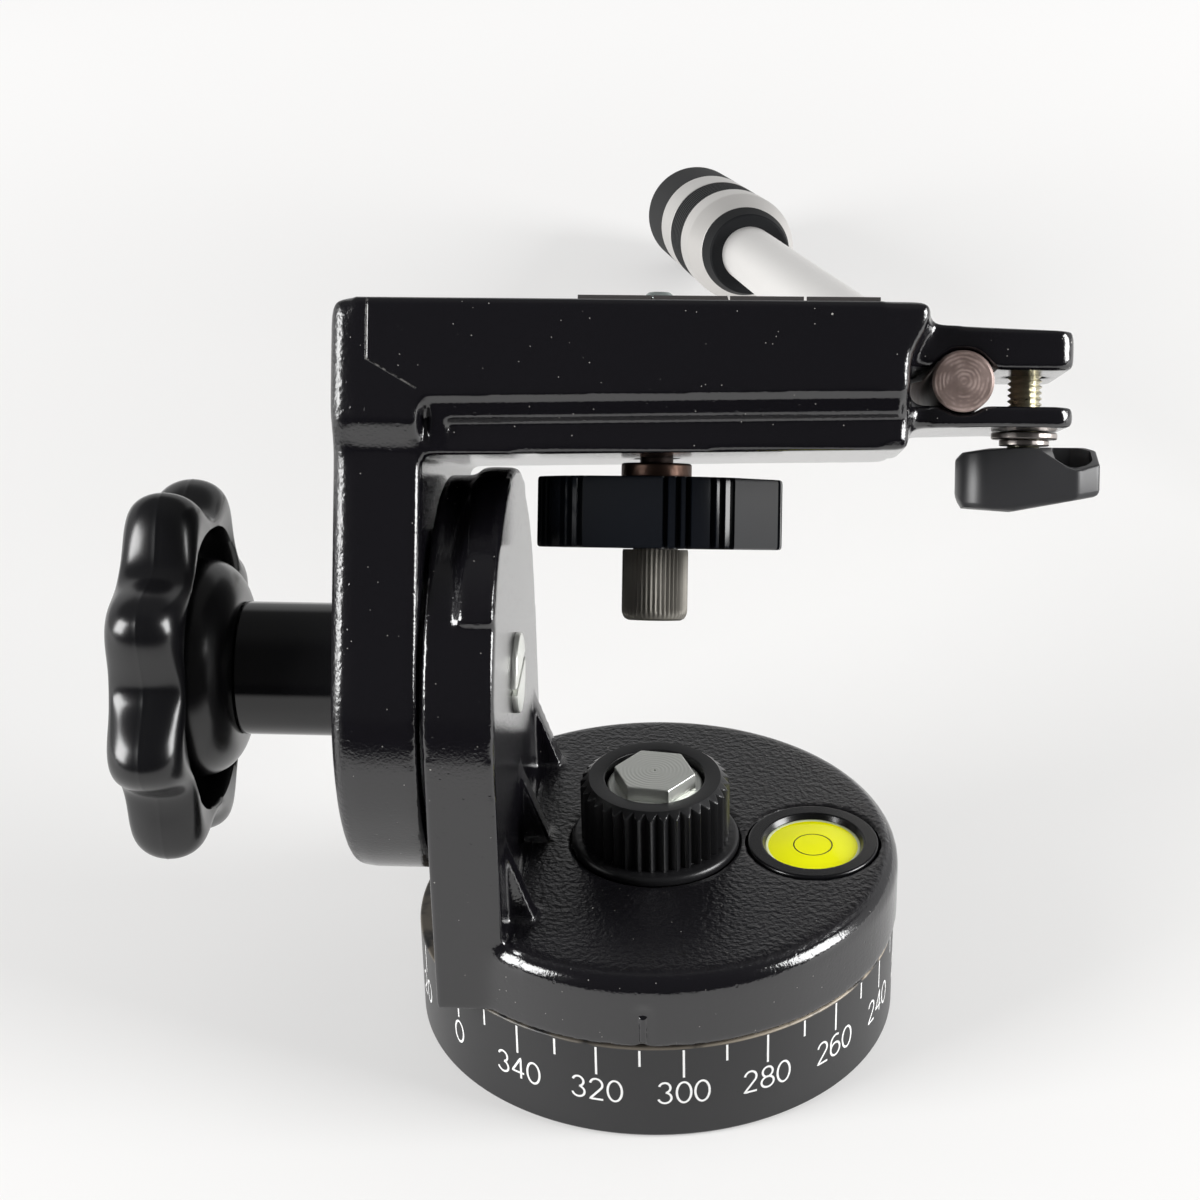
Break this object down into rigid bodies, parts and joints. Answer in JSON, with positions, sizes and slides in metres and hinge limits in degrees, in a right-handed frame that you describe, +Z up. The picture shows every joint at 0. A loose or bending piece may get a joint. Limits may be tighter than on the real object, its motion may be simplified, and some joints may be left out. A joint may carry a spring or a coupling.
{
  "type": "fluid video head",
  "caption": "Two-axis fluid video head: a graduated pan base, a round bubble level, a side tilt arm with a camera platform, drag and lock knobs, and a bent pan bar with a hand grip.",
  "frame": {"origin": "centre of the base's underside, at the mouth of the tripod socket", "axes": "+Z up along the pan axis, +Y towards the pan bar's grip and away from the camera operator's view in the picture, +X towards the handle clamp; the tilt knob is at -X"},
  "size_m": [0.1689, 0.4365, 0.1426],
  "materials": {
    "stove_enamel": "gloss black enamel with a fine wrinkle",
    "scale_black": "satin charcoal with white graduations",
    "moulded_black": "glossy moulded black",
    "satin_black": "satin black",
    "zinc_steel": "turned zinc-plated steel",
    "yellow_zinc": "yellow zinc plating",
    "bare_steel": "bare steel, slightly browned",
    "copper_washer": "dull copper",
    "bush_brass": "plain turned",
    "plate_aluminium": "plain turned",
    "tube_silver": "satin anodised",
    "pad_rubber": "matt",
    "friction_fibre": "matt fibre",
    "vial_clear": "clear",
    "vial_fluid": "yellow-green fluid"
  },
  "bodies": {
    "base": {"scale_base": "scale_black", "tripod_bush": "bare_steel", "pan_spindle": "zinc_steel", "thrust_washer": "bush_brass", "damper_stator": "plate_aluminium", "bolt_washer": "zinc_steel", "centre_bolt": "zinc_steel"},
    "turret": {"pan_housing": "stove_enamel", "pan_bush": "bush_brass", "damper_rotor": "plate_aluminium", "pan_seal": "pad_rubber", "friction_washer": "friction_fibre", "level_ring": "moulded_black", "level_vial": "vial_clear", "level_fluid": "vial_fluid", "tilt_shaft": "zinc_steel", "brake_plate": "plate_aluminium", "brake_disc": "friction_fibre"},
    "pan_press": {"pressure_ring": "zinc_steel"},
    "pan_drag": {"pan_knob": "satin_black"},
    "tilt_press": {"tilt_sleeve": "satin_black"},
    "tilt_lock": {"star_knob": "moulded_black", "knob_insert": "bush_brass"},
    "arm": {"platform_arm": "stove_enamel", "arm_bush": "bush_brass", "brake_rotor": "plate_aluminium", "platform_pads": "pad_rubber"},
    "screw": {"camera_screw": "bare_steel"},
    "lock_press": {"lock_washer": "copper_washer"},
    "lock": {"lock_knob": "moulded_black"},
    "clamp_press": {"clamp_washer": "zinc_steel"},
    "lever": {"clamp_screw": "yellow_zinc", "lever_collar": "zinc_steel", "clamp_lever": "moulded_black"},
    "pan_bar": {"bar_rod": "bare_steel", "bar_plug": "satin_black", "bar_tube": "tube_silver", "grip_ring": "satin_black", "grip_band_front": "tube_silver", "grip_sleeve": "satin_black", "grip_band_rear": "tube_silver", "grip_cap": "satin_black"}
  },
  "joints": [
    {"name": "pan", "type": "hinge", "parent": "base", "child": "turret", "pos_m": [0, 0, 0.0198], "axis": [0, 0, 1], "continuous": true},
    {"name": "pan_press_slide", "type": "slide", "parent": "base", "child": "pan_press", "axis": [0, 0, 1], "range_m": [0, 0.0015]},
    {"name": "pan_drag_turn", "type": "hinge", "parent": "pan_press", "child": "pan_drag", "pos_m": [0, 0, 0.036], "axis": [0, 0, 1], "range_deg": [0, 360]},
    {"name": "tilt", "type": "hinge", "parent": "turret", "child": "arm", "pos_m": [0, 0, 0.0684], "axis": [1, 0, 0], "range_deg": [-53.2, 106.8]},
    {"name": "tilt_press_slide", "type": "slide", "parent": "turret", "child": "tilt_press", "axis": [-1, 0, 0], "range_m": [0, 0.00175]},
    {"name": "tilt_lock_turn", "type": "hinge", "parent": "tilt_press", "child": "tilt_lock", "pos_m": [-0.085, 0, 0.0684], "axis": [-1, 0, 0], "range_deg": [0, 360]},
    {"name": "camera_screw_turn", "type": "hinge", "parent": "arm", "child": "screw", "pos_m": [0, 0.01353, 0.09518], "axis": [0, 0.4509, 0.8926], "continuous": true},
    {"name": "lock_press_slide", "type": "slide", "parent": "arm", "child": "lock_press", "axis": [0, 0.4509, 0.8926], "range_m": [0, 0.0006]},
    {"name": "camera_lock_turn", "type": "hinge", "parent": "lock_press", "child": "lock", "pos_m": [0, 0.01263, 0.09339], "axis": [0, 0.4509, 0.8926], "range_deg": [0, 170]},
    {"name": "clamp_press_slide", "type": "slide", "parent": "arm", "child": "clamp_press", "axis": [0, -0.4509, -0.8926], "range_m": [0, 0.001]},
    {"name": "clamp_lever_turn", "type": "hinge", "parent": "clamp_press", "child": "lever", "pos_m": [0.064, 0.00999, 0.10593], "axis": [0, -0.4509, -0.8926], "range_deg": [0, 360]},
    {"name": "bar_turn", "type": "hinge", "parent": "arm", "child": "pan_bar", "pos_m": [0.0522, 0.02304, 0.11401], "axis": [0, 0.8926, -0.4509], "continuous": true}
  ],
  "couplings": [
    {"joint": "pan_press_slide", "follows": "pan_drag_turn", "m_per_rad": 0.00023873},
    {"joint": "tilt_press_slide", "follows": "tilt_lock_turn", "m_per_rad": 0.00027852},
    {"joint": "lock_press_slide", "follows": "camera_lock_turn", "m_per_rad": 0.00020213},
    {"joint": "clamp_press_slide", "follows": "clamp_lever_turn", "m_per_rad": 0.00015915}
  ]
}
